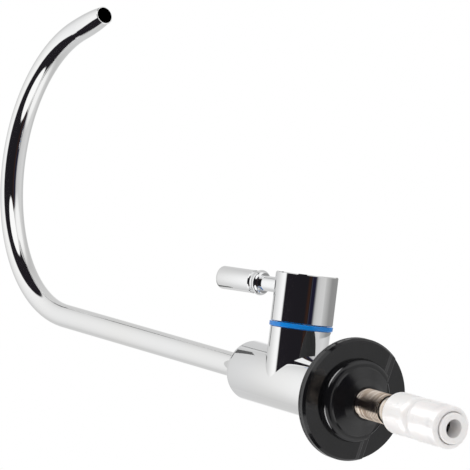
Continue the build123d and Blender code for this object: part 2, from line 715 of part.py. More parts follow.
# Quick-connect fitting: threaded end, waist, and the socket for the tube
with BuildPart() as fitting_body:
    with BuildSketch(Plane.XZ):
        with BuildLine():
            Line((THREAD_R + RUNNING, FITTING_TOP), (FITTING_R - FITTING_EDGE_R, FITTING_TOP))
            ThreePointArc(
                (FITTING_R - FITTING_EDGE_R, FITTING_TOP),
                (FITTING_R - 0.3 * FITTING_EDGE_R, FITTING_TOP - 0.3 * FITTING_EDGE_R),
                (FITTING_R, FITTING_TOP - FITTING_EDGE_R),
            )
            Line((FITTING_R, FITTING_TOP - FITTING_EDGE_R), (FITTING_R, FITTING_SHOULDER))
            ThreePointArc(
                (FITTING_R, FITTING_SHOULDER),
                (FITTING_R - 0.2, FITTING_SHOULDER - 2.2),
                (FITTING_NECK_R, FITTING_NECK),
            )
            ThreePointArc(
                (FITTING_NECK_R, FITTING_NECK),
                (FITTING_LOWER_R - 0.2, FITTING_NECK - 1.6),
                (FITTING_LOWER_R, FITTING_LOWER_START),
            )
            Polyline(
                (FITTING_LOWER_R, FITTING_LOWER_START),
                (FITTING_LOWER_R, FITTING_BODY_END),
                (CAVITY_R, FITTING_BODY_END),
                (CAVITY_R, CAVITY_END),
                (GRAB_R, CAVITY_END),
                (GRAB_R, GRAB_END),
                (TUBE_RING_R, GRAB_END),
                (TUBE_RING_R, TUBE_SOCKET_END),
                (TUBE_SOCKET_R, TUBE_SOCKET_END),
                (TUBE_SOCKET_R, TUBE_SOCKET_TOP),
                (WATERWAY_R, TUBE_SOCKET_TOP),
                (WATERWAY_R, SHANK_END - FITTING_SEAL_T),
                (THREAD_R + RUNNING, SHANK_END - FITTING_SEAL_T),
                (THREAD_R + RUNNING, FITTING_TOP),
            )
        make_face()
    revolve(axis=Axis.Z)
save(fitting_body.part, "fitting_body")

# Seal washer between the shank's end and the fitting
with BuildPart() as fitting_seal:
    with BuildSketch(Plane.XY.offset(SHANK_END - FITTING_SEAL_T)):
        Circle(THREAD_R)
        Circle(SHANK_BORE_R, mode=Mode.SUBTRACT)
    extrude(amount=FITTING_SEAL_T)
save(fitting_seal.part, "fitting_seal")

save(
    seal_ring(
        TUBE_SOCKET_R + SHAFT_GAP, TUBE_RING_R - SEAL_GAP, GRAB_END + 0.1, TUBE_SOCKET_END - 0.1, Plane.XY
    ),
    "tube_o_ring",
)

# Ring with teeth that hold the tube
with BuildPart() as grab_ring:
    with BuildSketch(Plane.XY.offset(CAVITY_END + 0.1)):
        Circle(GRAB_R - 0.05)
        Circle(TUBE_SOCKET_R + 0.1, mode=Mode.SUBTRACT)
        with PolarLocations(TUBE_SOCKET_R + 0.4, GRAB_TEETH):
            Rectangle(1.2, 0.5, mode=Mode.SUBTRACT)
    extrude(amount=GRAB_T)
save(grab_ring.part, "grab_ring")

# End cap with a recess for the collet
with BuildPart() as fitting_cap:
    with BuildSketch(Plane.XY.offset(FITTING_CAP_END)):
        Circle(FITTING_LOWER_R)
        Circle(COLLET_NECK_R + SHAFT_GAP, mode=Mode.SUBTRACT)
    extrude(amount=FITTING_BODY_END - FITTING_CAP_END)
    with BuildSketch(Plane.XY.offset(FITTING_CAP_END)):
        Circle(COLLET_R + 0.3)
    extrude(amount=COLLET_RECESS, mode=Mode.SUBTRACT)
    fillet(rims(fitting_cap, COLLET_R + 1)[0], FITTING_CAP_EDGE_R)
save(fitting_cap.part, "fitting_cap")

# Release collet: pressed inwards, its sleeve opens the grab ring
with BuildPart() as collet:
    with BuildSketch(Plane.XY.offset(COLLET_FACE)):
        Circle(COLLET_R)
    extrude(amount=COLLET_HEAD_T)
    fillet(rims(collet, COLLET_R - 0.1)[0], COLLET_EDGE_R)
    with BuildSketch(Plane.XY.offset(COLLET_FACE + COLLET_HEAD_T)):
        Circle(COLLET_NECK_R)
    extrude(amount=COLLET_TOP - COLLET_FACE - COLLET_HEAD_T)
    with BuildSketch(Plane.XY.offset(COLLET_TOP - COLLET_BARB_T)):
        Circle(CAVITY_R - 0.3)
    extrude(amount=COLLET_BARB_T)
    with BuildSketch(Plane.XY.offset(COLLET_FACE)):
        Circle(COLLET_HOLE_R)
    extrude(amount=COLLET_TOP - COLLET_FACE, mode=Mode.SUBTRACT)
save(collet.part, "collet")
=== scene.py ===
"""Dresses the drinking water faucet: chrome body, lever and swan-neck spout, a moulded
base with its gasket, a threaded shank and a white push-in fitting below the counter."""

import math

import bmesh
import bpy
from bpy.props import FloatProperty, FloatVectorProperty, IntProperty, PointerProperty
from bpy.types import Operator, Panel, PropertyGroup
from mathutils import Matrix, Vector


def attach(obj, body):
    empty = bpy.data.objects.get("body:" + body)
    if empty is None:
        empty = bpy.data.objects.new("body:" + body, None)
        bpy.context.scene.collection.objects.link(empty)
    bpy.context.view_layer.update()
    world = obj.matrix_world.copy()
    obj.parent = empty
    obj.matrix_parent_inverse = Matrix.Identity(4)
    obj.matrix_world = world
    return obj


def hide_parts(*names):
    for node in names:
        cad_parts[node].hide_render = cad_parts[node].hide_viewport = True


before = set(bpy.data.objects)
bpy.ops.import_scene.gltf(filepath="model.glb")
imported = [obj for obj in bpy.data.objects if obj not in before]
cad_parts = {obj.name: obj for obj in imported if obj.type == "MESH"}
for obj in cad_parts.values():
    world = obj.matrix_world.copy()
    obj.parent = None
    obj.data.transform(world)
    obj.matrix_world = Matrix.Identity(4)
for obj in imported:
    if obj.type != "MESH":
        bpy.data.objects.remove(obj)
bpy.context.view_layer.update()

bl_info = {
    "name": "Drinking water faucet",
    "version": (1, 0, 0),
    "blender": (4, 5, 0),
    "location": "3D View > Sidebar > Faucet",
    "description": "Builds the visible pieces and finishes of a drinking water faucet",
    "category": "Object",
}

MM = 0.001

# Where the pieces meet, in metres, as in the part's own source
RIDGE_RADIUS = 15.3 * MM
STEP_TURN = math.radians(11.9)
STEP_EDGES = (8.2 * MM, 9.7 * MM, 11.7 * MM)
THREAD_TOP = -7.7 * MM
THREAD_BOTTOM = -27.4 * MM
LOWER_THREAD_TOP = -28.2 * MM
SHANK_END = -37.5 * MM
SHANK_END_CHAMFER = 0.57 * MM

# Smooth collar between the thread and the fitting, which narrows towards the fitting. It
# reaches a little into the thread, and its inner wall lies inside the shank's core
COLLAR_LENGTH = 5.4 * MM
COLLAR_TOP = THREAD_BOTTOM + COLLAR_LENGTH
COLLAR_RADIUS = 5.5 * MM
COLLAR_END_RADIUS = 5.12 * MM
COLLAR_EDGE = 0.05 * MM
COLLAR_OVERLAP = 0.03 * MM
COLLAR_WALL_SUNK = 0.1 * MM

# Outline of one thread: share of the thread's depth, share of its pitch
TOOTH = (
    (0, 0), (0, 0.14), (0.12, 0.19), (0.88, 0.39), (1, 0.44),
    (1, 0.70), (0.88, 0.75), (0.12, 0.95), (0, 1.0),
)
# A run of thread starts this many pitches below its lower cut, and has these turns to spare
RUN_IN = 1.05
SPARE_TURNS = 2
# How far under the thread's roots its inner wall and the shank's core lie
THREAD_WALL_SUNK = 0.15 * MM
CORE_BELOW_ROOT = 0.08 * MM
# Points of a mesh nearer than this are one point
SAME_POINT = 0.001 * MM

# Angles between two faces in radians, past which an edge shows sharp and a corner is rounded
SHARP_EDGE = math.radians(35)
CORNER = 0.5

# Shares of a colour's red, green and blue that are left in the second tone of a finish
WARM = (1, 0.992, 0.975)
TARNISH = (0.93, 0.90, 0.86)
PINK = (1, 0.965, 0.96)
# Painted shade: the share of colour left in the thread's roots
PAINTED_ROOT_SHADE = (0.5, 0.5, 0.5)
TURNING_BANDS = (0.62, 0.55, 0.49)
CLOUDS = (0.6, 0.6, 0.6)
STAINS = (0.7, 0.7, 0.7)
# Colour of the painted highlight along the base's ridge and step edges
EDGE_HIGHLIGHT_TONE = (0.15, 0.15, 0.155)


class FaucetColours(PropertyGroup):
    """Colours of the faucet's finishes."""

    chrome: FloatVectorProperty(
        name="Chrome", description="Polished chrome plating",
        subtype="COLOR", size=3, min=0, max=1, default=(0.86, 0.865, 0.87),
    )
    nickel: FloatVectorProperty(
        name="Nickel", description="Plating on the threaded shank",
        subtype="COLOR", size=3, min=0, max=1, default=(0.88, 0.80, 0.725),
    )
    ring: FloatVectorProperty(
        name="Indicator ring", description="Blue plastic of the ring behind the handle",
        subtype="COLOR", size=3, min=0, max=1, default=(0.002, 0.25, 0.78),
    )
    base: FloatVectorProperty(
        name="Base", description="Black plastic of the moulded base",
        subtype="COLOR", size=3, min=0, max=1, default=(0.007, 0.007, 0.008),
    )
    fitting: FloatVectorProperty(
        name="Fitting", description="White plastic of the push-in fitting",
        subtype="COLOR", size=3, min=0, max=1, default=(0.93, 0.915, 0.905),
    )


class FaucetThread(PropertyGroup):
    """Sizes of the thread on the shank."""

    pitch: FloatProperty(
        name="Pitch", description="Rise of one turn, 24 to the inch",
        subtype="DISTANCE", unit="LENGTH", default=25.4 / 24 * MM, min=0.2 * MM,
    )
    crest_radius: FloatProperty(
        name="Crest radius", description="Half the thread's outside diameter",
        subtype="DISTANCE", unit="LENGTH", default=5.55 * MM,
    )
    root_radius: FloatProperty(
        name="Root radius", description="Radius at the bottom of the thread",
        subtype="DISTANCE", unit="LENGTH", default=5.08 * MM,
    )
    steps: IntProperty(name="Steps", description="Steps in one turn", default=72, min=12)


class FaucetStage(PropertyGroup):
    """Floor and light around the faucet."""

    floor_height: FloatProperty(
        name="Floor height", description="Height of the floor; the unscrewed fitting clears it",
        subtype="DISTANCE", unit="LENGTH", default=-93.5 * MM,
    )
    floor_size: FloatProperty(
        name="Floor radius", description="Radius at which the floor has faded away",
        subtype="DISTANCE", unit="LENGTH", default=1.2, min=0.1,
    )
    sky: FloatProperty(
        name="Sky", description="Strength of the soft light all round", default=1.0, min=0,
    )


# Nodes that the finishes and the stage share


def start_material(name, colour, metallic, roughness):
    """A new material with its shader's plain values set, as (material, nodes, links, shader)."""
    material = bpy.data.materials.new(name)
    material.use_nodes = True
    nodes, links = material.node_tree.nodes, material.node_tree.links
    shader = nodes["Principled BSDF"]
    shader.inputs["Base Color"].default_value = (*colour, 1)
    shader.inputs["Metallic"].default_value = metallic
    shader.inputs["Roughness"].default_value = roughness
    return material, nodes, links, shader


def object_coordinates(nodes, links, stretch=(1, 1, 1)):
    """The piece's own coordinates in metres, drawn out along an axis where stretch is under 1."""
    coordinates = nodes.new("ShaderNodeTexCoord")
    mapping = nodes.new("ShaderNodeMapping")
    mapping.inputs["Scale"].default_value = stretch
    links.new(coordinates.outputs["Object"], mapping.inputs["Vector"])
    return mapping.outputs["Vector"]


def separate(nodes, links, vector):
    """The numbers of a vector, by the names X, Y and Z."""
    node = nodes.new("ShaderNodeSeparateXYZ")
    links.new(vector, node.inputs["Vector"])
    return node.outputs


def calculate(nodes, links, operation, first, second=None):
    """One sum with inputs that are sockets or numbers."""
    node = nodes.new("ShaderNodeMath")
    node.operation = operation
    for socket, value in zip(node.inputs, (first, second)):
        if isinstance(value, (int, float)):
            socket.default_value = value
        elif value is not None:
            links.new(value, socket)
    return node.outputs["Value"]


def measure(nodes, links, operation, vector, fixed=None):
    """A number from a vector: its LENGTH, or its DOT_PRODUCT with a fixed vector."""
    node = nodes.new("ShaderNodeVectorMath")
    node.operation = operation
    links.new(vector, node.inputs[0])
    if fixed is not None:
        node.inputs[1].default_value = fixed
    return node.outputs["Value"]


def axis_distance(nodes, links):
    """Distance from the shank's axis, in metres."""
    return measure(nodes, links, "LENGTH", object_coordinates(nodes, links, stretch=(1, 1, 0)))


def spread(nodes, links, value, before, after, smooth=False):
    """Maps a value from the first numbers of two pairs to their second numbers."""
    node = nodes.new("ShaderNodeMapRange")
    node.interpolation_type = "SMOOTHSTEP" if smooth else "LINEAR"
    node.inputs["From Min"].default_value, node.inputs["To Min"].default_value = before
    node.inputs["From Max"].default_value, node.inputs["To Max"].default_value = after
    links.new(value, node.inputs["Value"])
    return node.outputs["Result"]


def thin_line(nodes, links, value, middle, width):
    """1 where a value is at the middle, falling to 0 half a width away."""
    away = calculate(nodes, links, "ABSOLUTE", calculate(nodes, links, "SUBTRACT", value, middle))
    return spread(nodes, links, away, (0, 1), (width / 2, 0), smooth=True)


def mottle(nodes, links, grain, low=0, high=1, stretch=(1, 1, 1), detail=3.0):
    """Noise with spots of about that grain in metres, spread from low to high."""
    noise = nodes.new("ShaderNodeTexNoise")
    noise.inputs["Scale"].default_value = 1 / grain
    noise.inputs["Detail"].default_value = detail
    links.new(object_coordinates(nodes, links, stretch), noise.inputs["Vector"])
    return spread(nodes, links, noise.outputs["Fac"], (0.3, low), (0.7, high))


def blend(nodes, links, factor, first, second, blend_type="MIX"):
    """Lays the second colour on the first by a factor; each is a socket, a grey or a colour."""
    node = nodes.new("ShaderNodeMix")
    node.data_type = "RGBA"
    node.blend_type = blend_type
    links.new(factor, node.inputs["Factor"])
    for name, colour in (("A", first), ("B", second)):
        if isinstance(colour, bpy.types.NodeSocket):
            links.new(colour, node.inputs[name])
        elif isinstance(colour, float):
            node.inputs[name].default_value = (colour, colour, colour, 1)
        else:
            node.inputs[name].default_value = (*colour, 1)
    return node.outputs["Result"]


def mix_shaders(nodes, links, factor, first, second):
    """The first shader where a factor is 0, and the second where it is 1."""
    node = nodes.new("ShaderNodeMixShader")
    links.new(factor, node.inputs["Fac"])
    links.new(first, node.inputs[1])
    links.new(second, node.inputs[2])
    return node.outputs["Shader"]


def ramp(nodes, stops):
    """A ramp through grey levels or colours at places from 0 to 1."""
    node = nodes.new("ShaderNodeValToRGB")
    elements = node.color_ramp.elements
    colours = [
        (level,) * 3 if isinstance(level, (int, float)) else level for _, level in stops
    ]
    elements[0].position, elements[1].position = stops[0][0], stops[-1][0]
    elements[0].color, elements[1].color = (*colours[0], 1), (*colours[-1], 1)
    for (place, _), colour in zip(stops[1:-1], colours[1:-1]):
        elements.new(place).color = (*colour, 1)
    return node


def toned(colour, shares):
    """A colour with each channel cut to its share."""
    return tuple(channel * share for channel, share in zip(colour, shares))


def relief(nodes, links, shader, height, depth, strength=1.0):
    """Gives the surface a fine relief of that depth in metres."""
    bump = nodes.new("ShaderNodeBump")
    bump.inputs["Strength"].default_value = strength
    bump.inputs["Distance"].default_value = depth
    links.new(height, bump.inputs["Height"])
    links.new(bump.outputs["Normal"], shader.inputs["Normal"])


# Finishes


def chrome_finish(colours):
    """Polished plating: nearly a mirror, with faint hazy patches from handling and polishing."""
    material, nodes, links, shader = start_material(
        "chrome", colours.chrome, metallic=1.0, roughness=0.04)
    haze = mottle(nodes, links, grain=14 * MM, low=0.03, high=0.065)
    links.new(haze, shader.inputs["Roughness"])
    warmth = mottle(nodes, links, grain=45 * MM, detail=1.0)
    plating = blend(nodes, links, warmth, colours.chrome, toned(colours.chrome, WARM))
    links.new(plating, shader.inputs["Base Color"])
    ripple = mottle(nodes, links, grain=6 * MM)
    relief(nodes, links, shader, ripple, depth=0.002 * MM, strength=0.3)
    return material


def nickel_finish(colours):
    """Plated thread with painted shade in its roots, bands from turning and a few tarnished places.

    The collar under it has neither roots nor bands, and a closer polish."""
    material, nodes, links, shader = start_material(
        "nickel", colours.nickel, metallic=1.0, roughness=0.17)
    tarnished = toned(colours.nickel, TARNISH)
    patches = mottle(nodes, links, grain=7 * MM, stretch=(1, 1, 0.6), detail=1.5)
    plated = blend(nodes, links, patches, colours.nickel, tarnished)
    thread = bpy.context.scene.faucet_thread
    depth = thread.crest_radius - thread.root_radius
    above_root = spread(
        nodes, links, axis_distance(nodes, links),
        (thread.root_radius + 0.1 * depth, 0), (thread.crest_radius - 0.15 * depth, 1),
    )
    # Painted shade: the thread's roots darker than its crests
    root_shaded = blend(nodes, links, above_root, toned(tarnished, PAINTED_ROOT_SHADE), plated)
    height = separate(nodes, links, object_coordinates(nodes, links))["Z"]
    threaded = spread(
        nodes, links, height, (COLLAR_TOP - 0.1 * MM, 0), (COLLAR_TOP + 0.1 * MM, 1),
    )
    turned = mottle(nodes, links, grain=1.3 * MM, stretch=(0.12, 0.12, 1), detail=1.0)
    bands = calculate(nodes, links, "MULTIPLY", turned, threaded)
    banded = blend(nodes, links, bands, root_shaded, TURNING_BANDS, blend_type="MULTIPLY")
    links.new(banded, shader.inputs["Base Color"])
    polish = mottle(nodes, links, grain=4 * MM, low=0.06, high=0.10, detail=1.5)
    duller = calculate(nodes, links, "MULTIPLY", threaded, 0.06)
    links.new(calculate(nodes, links, "ADD", polish, duller), shader.inputs["Roughness"])
    marks = mottle(nodes, links, grain=0.3 * MM, stretch=(0.06, 0.06, 1))
    relief(nodes, links, shader, marks, depth=0.002 * MM)
    return material


def painted_edge_highlight(nodes, links, radius):
    """How far the painted highlight on the base reaches: along its ridge beyond the step, and along
    the step's edges.
    """
    turn = nodes.new("ShaderNodeVectorRotate")
    turn.rotation_type = "Z_AXIS"
    turn.inputs["Angle"].default_value = -STEP_TURN
    links.new(object_coordinates(nodes, links), turn.inputs["Vector"])
    place = separate(nodes, links, turn.outputs["Vector"])
    outer_edge = STEP_EDGES[-1]
    beyond = spread(nodes, links, place["X"], (outer_edge, 0), (outer_edge + 0.3 * MM, 1))
    ridge = thin_line(nodes, links, radius, RIDGE_RADIUS, width=0.5 * MM)
    edge_highlight = calculate(nodes, links, "MULTIPLY", ridge, beyond)
    for edge in STEP_EDGES:
        line = thin_line(nodes, links, place["X"], edge, width=0.28 * MM)
        fainter = calculate(nodes, links, "MULTIPLY", line, 0.6)
        edge_highlight = calculate(nodes, links, "MAXIMUM", edge_highlight, fainter)
    underside = spread(nodes, links, place["Z"], (1.3 * MM, 1), (1.6 * MM, 0))
    edge_highlight = calculate(nodes, links, "MULTIPLY", edge_highlight, underside)
    uneven = mottle(nodes, links, grain=2.5 * MM, low=0.35, high=1.0)
    return calculate(nodes, links, "MULTIPLY", edge_highlight, uneven)


def base_finish(colours):
    """Moulded black plastic: clouded gloss, with a painted highlight along its ridge and step."""
    material, nodes, links, shader = start_material(
        "black_plastic", colours.base, metallic=0.0, roughness=0.1)
    clouds = mottle(nodes, links, grain=7 * MM, detail=2.0)
    clouded = blend(nodes, links, clouds, colours.base, toned(colours.base, CLOUDS))
    radius = axis_distance(nodes, links)
    edge_highlight = painted_edge_highlight(nodes, links, radius)
    # Painted highlight: the base paler along its ridge beyond the step and along the step's edges
    highlighted = blend(nodes, links, edge_highlight, clouded, EDGE_HIGHLIGHT_TONE)
    links.new(highlighted, shader.inputs["Base Color"])
    gloss = mottle(nodes, links, grain=5 * MM, low=0.07, high=0.14, detail=2.0)
    duller_cone = spread(nodes, links, radius, (13.2 * MM, 0.09), (14.4 * MM, 0))
    links.new(calculate(nodes, links, "ADD", gloss, duller_cone), shader.inputs["Roughness"])
    relief(nodes, links, shader, mottle(nodes, links, grain=0.7 * MM), depth=0.002 * MM)
    return material


def fitting_finish(colours):
    """Milky white plastic that light sinks into, faintly clouded."""
    material, nodes, links, shader = start_material(
        "white_plastic", colours.fitting, metallic=0.0, roughness=0.32)
    clouds = mottle(nodes, links, grain=8 * MM)
    milky = blend(nodes, links, clouds, colours.fitting, toned(colours.fitting, PINK))
    links.new(milky, shader.inputs["Base Color"])
    shader.inputs["Subsurface Weight"].default_value = 0.6
    shader.inputs["Subsurface Radius"].default_value = (1.0, 0.95, 0.9)
    shader.inputs["Subsurface Scale"].default_value = 1.4 * MM
    gloss = mottle(nodes, links, grain=3 * MM, low=0.27, high=0.37)
    links.new(gloss, shader.inputs["Roughness"])
    relief(nodes, links, shader, mottle(nodes, links, grain=0.9 * MM), depth=0.008 * MM)
    return material


def turned_finish(name, colour, roughness):
    """Turned or rolled metal inside the valve, with fine marks and faint stains."""
    material, nodes, links, shader = start_material(name, colour, 1.0, roughness)
    stains = mottle(nodes, links, grain=3 * MM)
    stained = blend(nodes, links, stains, colour, toned(colour, STAINS))
    links.new(stained, shader.inputs["Base Color"])
    gloss = mottle(nodes, links, grain=1.2 * MM, low=roughness * 0.7, high=roughness * 1.3)
    links.new(gloss, shader.inputs["Roughness"])
    marks = mottle(nodes, links, grain=0.2 * MM, stretch=(1, 1, 0.15))
    relief(nodes, links, shader, marks, depth=0.01 * MM)
    return material


def moulded_finish(name, colour, shade, roughness, grain, depth):
    """Moulded plastic or rubber: two close tones, an uneven gloss and a fine grain."""
    material, nodes, links, shader = start_material(name, colour, 0.0, roughness)
    clouds = mottle(nodes, links, grain=6 * MM)
    clouded = blend(nodes, links, clouds, colour, toned(colour, (shade,) * 3))
    links.new(clouded, shader.inputs["Base Color"])
    gloss = mottle(nodes, links, grain=3 * MM, low=roughness * 0.8, high=roughness * 1.2)
    links.new(gloss, shader.inputs["Roughness"])
    relief(nodes, links, shader, mottle(nodes, links, grain=grain), depth=depth)
    return material


def make_finishes():
    """All the finishes by the record's slot names."""
    colours = bpy.context.scene.faucet_colours
    return {
        "chrome": chrome_finish(colours),
        "nickel": nickel_finish(colours),
        "brass": turned_finish("brass", (0.75, 0.58, 0.30), roughness=0.28),
        "steel": turned_finish("steel", (0.56, 0.56, 0.58), roughness=0.30),
        "ceramic": moulded_finish(
            "ceramic", (0.86, 0.86, 0.82), shade=0.94, roughness=0.22,
            grain=0.1 * MM, depth=0.002 * MM,
        ),
        "black_plastic": base_finish(colours),
        "rubber": moulded_finish(
            "rubber", (0.012, 0.012, 0.013), shade=0.7, roughness=0.62,
            grain=0.15 * MM, depth=0.012 * MM,
        ),
        "blue_plastic": moulded_finish(
            "blue_plastic", colours.ring, shade=0.8, roughness=0.16,
            grain=0.5 * MM, depth=0.002 * MM,
        ),
        "bush_plastic": moulded_finish(
            "bush_plastic", (0.80, 0.79, 0.76), shade=0.93, roughness=0.45,
            grain=0.3 * MM, depth=0.006 * MM,
        ),
        "white_plastic": fitting_finish(colours),
    }


def finish(slot):
    """The material of a slot, made once with all the others.

    A packed material of the same name makes way for it."""
    if "chrome" not in bpy.data.materials or not bpy.data.materials["chrome"].get("faucet"):
        for name, material in make_finishes().items():
            taken = bpy.data.materials.get(name)
            if taken is not None and taken != material:
                taken.name = name + "_packed"
            material.name = name
            material["faucet"] = True
    return bpy.data.materials[slot]


def dress(*names):
    """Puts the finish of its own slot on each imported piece."""
    for name in names:
        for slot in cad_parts[name].material_slots:
            slot.material = finish(slot.material.name.split(".")[0].replace("_packed", ""))


# Pieces


class FAUCET_OT_body(Operator):
    """Dress the body with its side branch"""

    bl_idname = "faucet.body"
    bl_label = "Body"

    def execute(self, context):
        dress("body")
        return {"FINISHED"}


class FAUCET_OT_base(Operator):
    """Dress the base plate and its gasket"""

    bl_idname = "faucet.base"
    bl_label = "Base and gasket"

    def execute(self, context):
        dress("base_plate", "base_gasket")
        return {"FINISHED"}


def add_piece(name, shape, slot):
    """Makes an object of a mesh, shaded smooth but for its sharp edges, in the finish of a slot."""
    for face in shape.faces:
        face.smooth = True
    for edge in shape.edges:
        edge.smooth = edge.calc_face_angle(0.0) < SHARP_EDGE
    mesh = bpy.data.meshes.new(name)
    shape.to_mesh(mesh)
    shape.free()
    mesh.materials.append(finish(slot))
    piece = bpy.data.objects.new(name, mesh)
    bpy.context.scene.collection.objects.link(piece)
    return piece


def draw_in(vertex, radius):
    """Brings a vertex straight in to a radius round the shank's axis, if it is beyond it."""
    if vertex.co.xy.length > radius:
        vertex.co.xy = vertex.co.xy.normalized() * radius


def start_outline(shape, points, closed):
    """Vertices and edges of an outline in the plane of the axis, from (radius, height) pairs."""
    corners = [shape.verts.new((radius, 0, height)) for radius, height in points]
    following = corners[1:] + corners[:1] if closed else corners[1:]
    return corners + [shape.edges.new(pair) for pair in zip(corners, following)]


def thread_run(thread, bottom, top):
    """Right-hand thread round the shank's axis, cut level at both ends and closed inwards."""
    shape = bmesh.new()
    pitch, root = thread.pitch, thread.root_radius
    depth = thread.crest_radius - root
    outline = start_outline(shape, [
        (root + out * depth, bottom + (up - RUN_IN) * pitch) for out, up in TOOTH
    ], closed=False)
    turns = math.ceil((top - bottom) / pitch) + SPARE_TURNS
    bmesh.ops.spin(
        shape, geom=outline, cent=(0, 0, 0), axis=(0, 0, 1),
        dvec=(0, 0, pitch / thread.steps), angle=turns * math.tau,
        steps=turns * thread.steps, use_merge=False,
    )
    bmesh.ops.remove_doubles(shape, verts=shape.verts, dist=5 * SAME_POINT)
    for height, outwards in ((bottom, -1), (top, 1)):
        bmesh.ops.bisect_plane(
            shape, geom=shape.verts[:] + shape.edges[:] + shape.faces[:],
            dist=0.1 * SAME_POINT, plane_co=(0, 0, height), plane_no=(0, 0, outwards),
            clear_outer=True,
        )
    rims = [edge for edge in shape.edges if edge.is_boundary]
    inner = bmesh.ops.extrude_edge_only(shape, edges=rims)["geom"]
    for vertex in inner:
        if isinstance(vertex, bmesh.types.BMVert):
            draw_in(vertex, root - THREAD_WALL_SUNK)
    inner_edges = [edge for edge in inner if isinstance(edge, bmesh.types.BMEdge)]
    bmesh.ops.bridge_loops(shape, edges=inner_edges)
    bmesh.ops.recalc_face_normals(shape, faces=shape.faces)
    return shape


def turned_ring(points, bevel, steps=96):
    """Solid ring turned round the shank's axis from a closed outline, its outer corners rounded.

    The outline starts on the ring's inner wall."""
    shape = bmesh.new()
    bmesh.ops.spin(
        shape, geom=start_outline(shape, points, closed=True), cent=(0, 0, 0), axis=(0, 0, 1),
        dvec=(0, 0, 0), angle=math.tau, steps=steps, use_merge=True,
    )
    bmesh.ops.remove_doubles(shape, verts=shape.verts, dist=SAME_POINT)
    bmesh.ops.recalc_face_normals(shape, faces=shape.faces)
    inner_radius = points[0][0]
    rims = []
    for edge in shape.edges:
        one, other = (vertex.co for vertex in edge.verts)
        level = abs(one.z - other.z) < SAME_POINT
        outer = min(one.xy.length, other.xy.length) > inner_radius + 0.05 * MM
        if level and outer and edge.calc_face_angle(0.0) > CORNER:
            rims.append(edge)
    bmesh.ops.bevel(
        shape, geom=rims, offset=bevel, offset_type="OFFSET", segments=3, profile=0.5,
        affect="EDGES", material=-1,
    )
    return shape


def bare_core(thread):
    """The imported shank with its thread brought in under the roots, in one piece."""
    core = bmesh.new()
    core.from_mesh(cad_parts["shank"].data)
    bmesh.ops.remove_doubles(core, verts=core.verts, dist=SAME_POINT)
    for vertex in core.verts:
        if SHANK_END + 10 * SAME_POINT < vertex.co.z < THREAD_TOP - 10 * SAME_POINT:
            draw_in(vertex, thread.root_radius - CORE_BELOW_ROOT)
    return core


def smooth_collar(thread):
    """The collar that the thread ends at, a little narrower towards the fitting."""
    wall = thread.root_radius - CORE_BELOW_ROOT - COLLAR_WALL_SUNK
    top = COLLAR_TOP + COLLAR_OVERLAP
    return turned_ring((
        (wall, top), (COLLAR_RADIUS, top),
        (COLLAR_END_RADIUS, THREAD_BOTTOM), (wall, THREAD_BOTTOM),
    ), bevel=COLLAR_EDGE)


def lower_run(thread):
    """The thread inside the fitting, with its last turns brought in to the shank's end cone."""
    shape = thread_run(thread, SHANK_END + 20 * SAME_POINT, LOWER_THREAD_TOP)
    for vertex in shape.verts:
        draw_in(vertex, thread.crest_radius - SHANK_END_CHAMFER + (vertex.co.z - SHANK_END))
    return shape


class FAUCET_OT_shank(Operator):
    """Cut the thread on the shank"""

    bl_idname = "faucet.shank"
    bl_label = "Threaded shank"

    def execute(self, context):
        thread = context.scene.faucet_thread
        pieces = [
            add_piece("shank_core", bare_core(thread), "nickel"),
            add_piece("shank_thread", thread_run(thread, COLLAR_TOP, THREAD_TOP), "nickel"),
            add_piece("shank_collar", smooth_collar(thread), "nickel"),
            add_piece("shank_thread_lower", lower_run(thread), "nickel"),
        ]
        for piece in pieces:
            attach(piece, "faucet")
        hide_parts("shank")
        return {"FINISHED"}


class FAUCET_OT_handle(Operator):
    """Dress the indicator ring, the handle cap, the lever's bar and its knob"""

    bl_idname = "faucet.handle"
    bl_label = "Ring, cap and lever"

    def execute(self, context):
        dress("blue_ring", "handle_cap", "lever_bar", "lever_knob")
        return {"FINISHED"}


class FAUCET_OT_spout(Operator):
    """Dress the swan-neck spout"""

    bl_idname = "faucet.spout"
    bl_label = "Spout"

    def execute(self, context):
        dress("spout_tube")
        return {"FINISHED"}


class FAUCET_OT_fitting(Operator):
    """Dress the push-in fitting and its collet"""

    bl_idname = "faucet.fitting"
    bl_label = "Fitting"

    def execute(self, context):
        dress("fitting_body", "fitting_cap", "collet")
        return {"FINISHED"}


class FAUCET_OT_inside(Operator):
    """Dress the valve, the seals and the screws inside"""

    bl_idname = "faucet.inside"
    bl_label = "Inner parts"

    def execute(self, context):
        dress(
            "seat_seal", "fixed_disc", "moving_disc", "cartridge_housing", "cartridge_o_ring",
            "spindle", "spindle_clip", "spindle_o_ring", "handle_screw", "spout_tail",
            "spout_o_rings", "spout_bush", "spout_screw", "shank_o_ring", "fitting_seal",
            "tube_o_ring", "grab_ring",
        )
        return {"FINISHED"}


# Stage: the camera, a floor, sheets close to the faucet, and a studio all round it

CAMERA_PLACE = (-1.01324146, -0.16189674, -1.43862927)
CAMERA_RIGHT = Vector((0.83002973, -0.14967257, -0.53726044))
CAMERA_DOWN = Vector((0.09140577, 0.98679864, -0.13369154))
CAMERA_FORWARD = Vector((0.55017783, 0.06185925, 0.83275314))
SENSOR_WIDTH = 36
FOCAL_LENGTH = 372.12

FLOOR_COLOUR = (0.9, 0.9, 0.9)
# Shares of the floor's radius between which it fades out
FLOOR_FADE = (0.35, 0.97)


def place_camera(scene):
    """Long lens from below the counter, looking up at the base and along the branch."""
    camera = bpy.data.objects.new("camera", bpy.data.cameras.new("camera"))
    scene.collection.objects.link(camera)
    turn = Matrix((CAMERA_RIGHT, -CAMERA_DOWN, -CAMERA_FORWARD)).transposed()
    camera.matrix_world = Matrix.Translation(CAMERA_PLACE) @ turn.to_4x4()
    camera.data.sensor_width = SENSOR_WIDTH
    camera.data.lens = FOCAL_LENGTH
    camera.data.clip_start = 0.1
    camera.data.clip_end = 20
    scene.camera = camera


